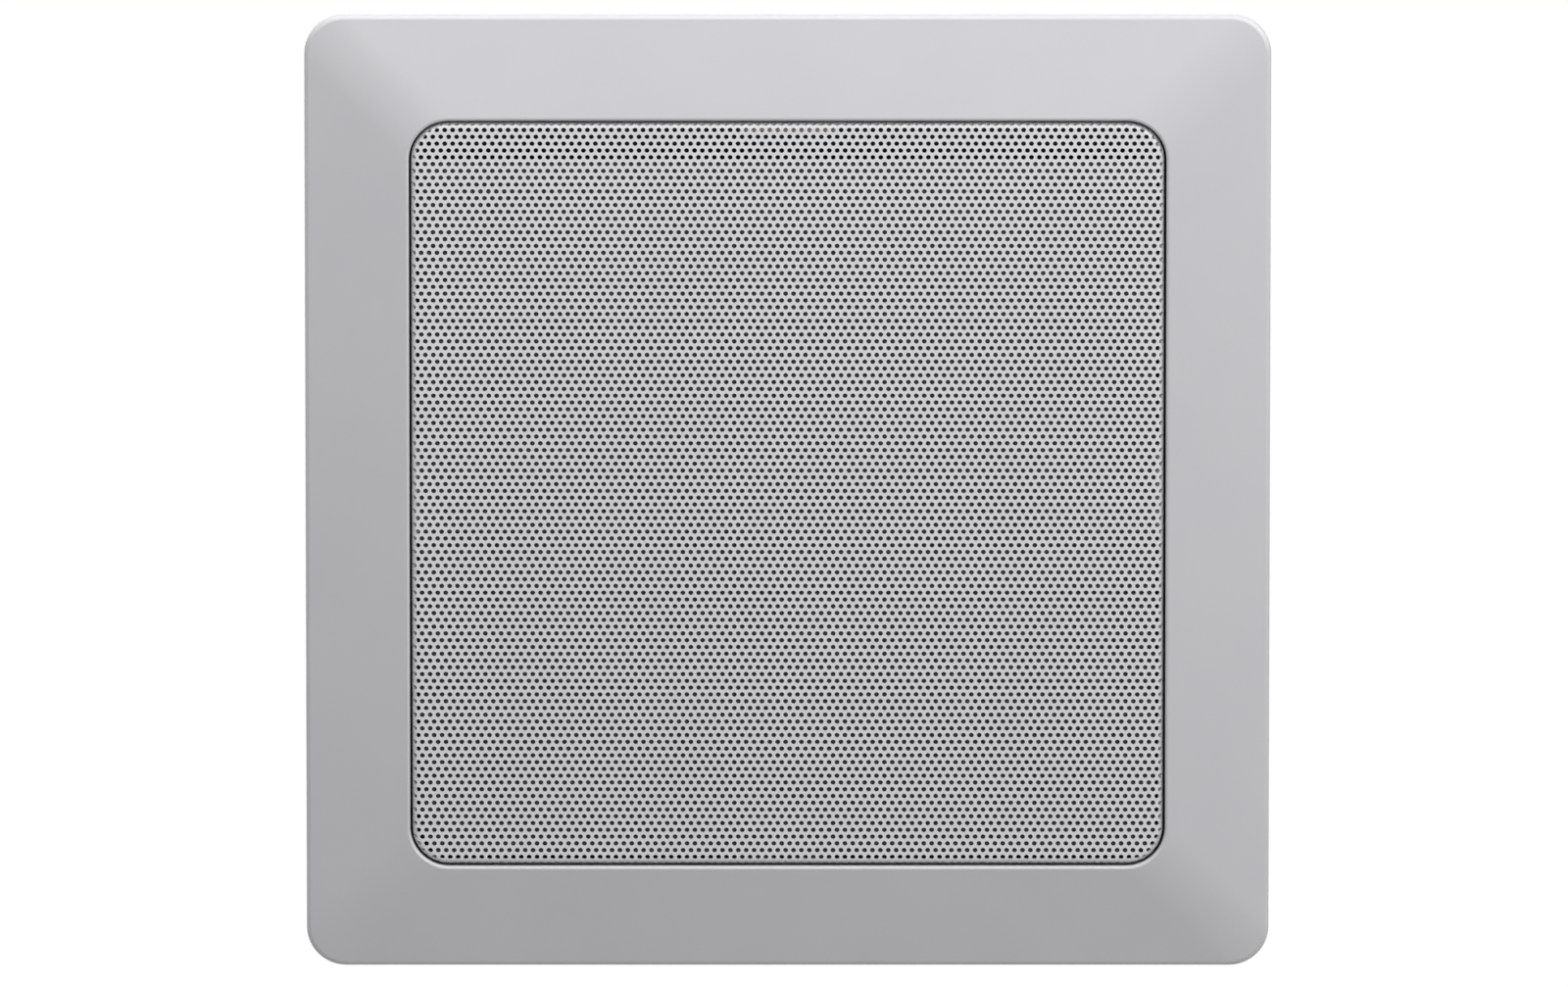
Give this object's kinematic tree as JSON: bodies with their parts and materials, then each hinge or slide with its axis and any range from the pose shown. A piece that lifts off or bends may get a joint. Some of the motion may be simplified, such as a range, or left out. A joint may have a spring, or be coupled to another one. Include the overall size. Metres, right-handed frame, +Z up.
{
  "type": "in wall speaker",
  "caption": "Square in-wall loudspeaker with a sloped silver bezel, fine perforated grille, coaxial drivers, crossover, sprung wire terminals and swing-out wall clamps.",
  "frame": {"origin": "centre of the bezel's back plane, where it lies on the wall's surface", "axes": "+Y into the wall, -Y out into the room, +Z up, +X to the right seen from the front"},
  "size_m": [0.244, 0.082, 0.244],
  "materials": {
    "silver_paint": "satin silver paint on moulded plastic",
    "grille_steel": "satin silver powder coat on perforated steel",
    "scrim_cloth": "open weave cloth",
    "black_abs": "fine moulded texture",
    "nickel_magnet": "nickel plated",
    "zinc_steel": "zinc plated",
    "basket_steel": "black enamel",
    "gasket_foam": "closed cell foam",
    "surround_rubber": "smooth rubber",
    "cone_paper": "coated pulp",
    "spider_cloth": "varnished cotton",
    "former_foil": "thin foil",
    "copper_wire": "enamelled copper",
    "ferrite": "ground ferrite",
    "phenolic_board": "pressed phenolic",
    "brass_plain": "tinned or plain brass",
    "dome_cloth": "doped silk",
    "circuit_board": "lacquered board",
    "capacitor_sleeve": "shrink sleeve",
    "resistor_body": "cement",
    "red_plastic": "moulded",
    "black_plastic": "moulded",
    "nylon": "glass filled nylon",
    "lead_sheath": "insulated wire"
  },
  "bodies": {
    "chassis": {"bezel": "silver_paint", "grille": "grille_steel", "grille_scrim": "scrim_cloth", "grille_magnets": "nickel_magnet", "baffle": "black_abs", "bezel_screws": "zinc_steel", "woofer_basket": "basket_steel", "woofer_gasket": "gasket_foam", "woofer_surround": "surround_rubber", "woofer_spider": "spider_cloth", "woofer_top_plate": "zinc_steel", "woofer_magnet": "ferrite", "woofer_yoke": "zinc_steel", "woofer_screws": "zinc_steel", "terminal_strip": "phenolic_board", "terminal_tags": "brass_plain", "tinsel_leads": "copper_wire", "tweeter_bridge": "black_abs", "bridge_screws": "zinc_steel", "tweeter_faceplate": "black_abs", "tweeter_dome": "dome_cloth", "tweeter_coil": "copper_wire", "tweeter_pole_plate": "zinc_steel", "tweeter_magnet": "nickel_magnet", "tweeter_cup": "zinc_steel", "crossover_board": "circuit_board", "board_screws": "zinc_steel", "inductor_core": "black_abs", "inductor_winding": "copper_wire", "capacitor": "capacitor_sleeve", "resistor": "resistor_body", "terminal_block": "black_abs", "clamp_screws": "zinc_steel", "woofer_leads": "lead_sheath", "tweeter_leads": "lead_sheath"},
    "cone": {"woofer_cone": "cone_paper", "woofer_dust_cap": "cone_paper", "voice_coil_former": "former_foil", "voice_coil": "copper_wire"},
    "lever_red": {"terminal_lever_red": "red_plastic"},
    "lever_black": {"terminal_lever_black": "black_plastic"},
    "bush_top_right": {"clamp_bush_top_right": "brass_plain"},
    "arm_top_right": {"clamp_arm_top_right": "nylon"},
    "bush_bottom_right": {"clamp_bush_bottom_right": "brass_plain"},
    "arm_bottom_right": {"clamp_arm_bottom_right": "nylon"},
    "bush_top_left": {"clamp_bush_top_left": "brass_plain"},
    "arm_top_left": {"clamp_arm_top_left": "nylon"},
    "bush_bottom_left": {"clamp_bush_bottom_left": "brass_plain"},
    "arm_bottom_left": {"clamp_arm_bottom_left": "nylon"}
  },
  "joints": [
    {"name": "cone_travel", "type": "slide", "parent": "chassis", "child": "cone", "axis": [0, -1, 0], "range_m": [-0.004, 0.004], "stiffness_N_per_m": 1000, "deforming": ["woofer_surround", "woofer_spider", "tinsel_leads"]},
    {"name": "clamp_travel_top_right", "type": "slide", "parent": "chassis", "child": "bush_top_right", "axis": [0, -1, 0], "range_m": [0, 0.023]},
    {"name": "clamp_swing_top_right", "type": "hinge", "parent": "bush_top_right", "child": "arm_top_right", "pos_m": [0.08385, 0.04, 0.0351], "axis": [0, 1, 0], "range_deg": [0, 90]},
    {"name": "clamp_travel_bottom_right", "type": "slide", "parent": "chassis", "child": "bush_bottom_right", "axis": [0, -1, 0], "range_m": [0, 0.023]},
    {"name": "clamp_swing_bottom_right", "type": "hinge", "parent": "bush_bottom_right", "child": "arm_bottom_right", "pos_m": [0.08385, 0.04, -0.0351], "axis": [0, 1, 0], "range_deg": [0, 90]},
    {"name": "clamp_travel_top_left", "type": "slide", "parent": "chassis", "child": "bush_top_left", "axis": [0, -1, 0], "range_m": [0, 0.023]},
    {"name": "clamp_swing_top_left", "type": "hinge", "parent": "bush_top_left", "child": "arm_top_left", "pos_m": [-0.08385, 0.04, 0.0351], "axis": [0, 1, 0], "range_deg": [0, 90]},
    {"name": "clamp_travel_bottom_left", "type": "slide", "parent": "chassis", "child": "bush_bottom_left", "axis": [0, -1, 0], "range_m": [0, 0.023]},
    {"name": "clamp_swing_bottom_left", "type": "hinge", "parent": "bush_bottom_left", "child": "arm_bottom_left", "pos_m": [-0.08385, 0.04, -0.0351], "axis": [0, 1, 0], "range_deg": [0, 90]},
    {"name": "lever_press_red", "type": "hinge", "parent": "chassis", "child": "lever_red", "pos_m": [-0.09225, 0.0297, 0.09505], "axis": [-1, 0, 0], "range_deg": [0, 20], "stiffness_Nm_per_rad": 0.05},
    {"name": "lever_press_black", "type": "hinge", "parent": "chassis", "child": "lever_black", "pos_m": [-0.08025, 0.0297, 0.09505], "axis": [-1, 0, 0], "range_deg": [0, 20], "stiffness_Nm_per_rad": 0.05}
  ]
}
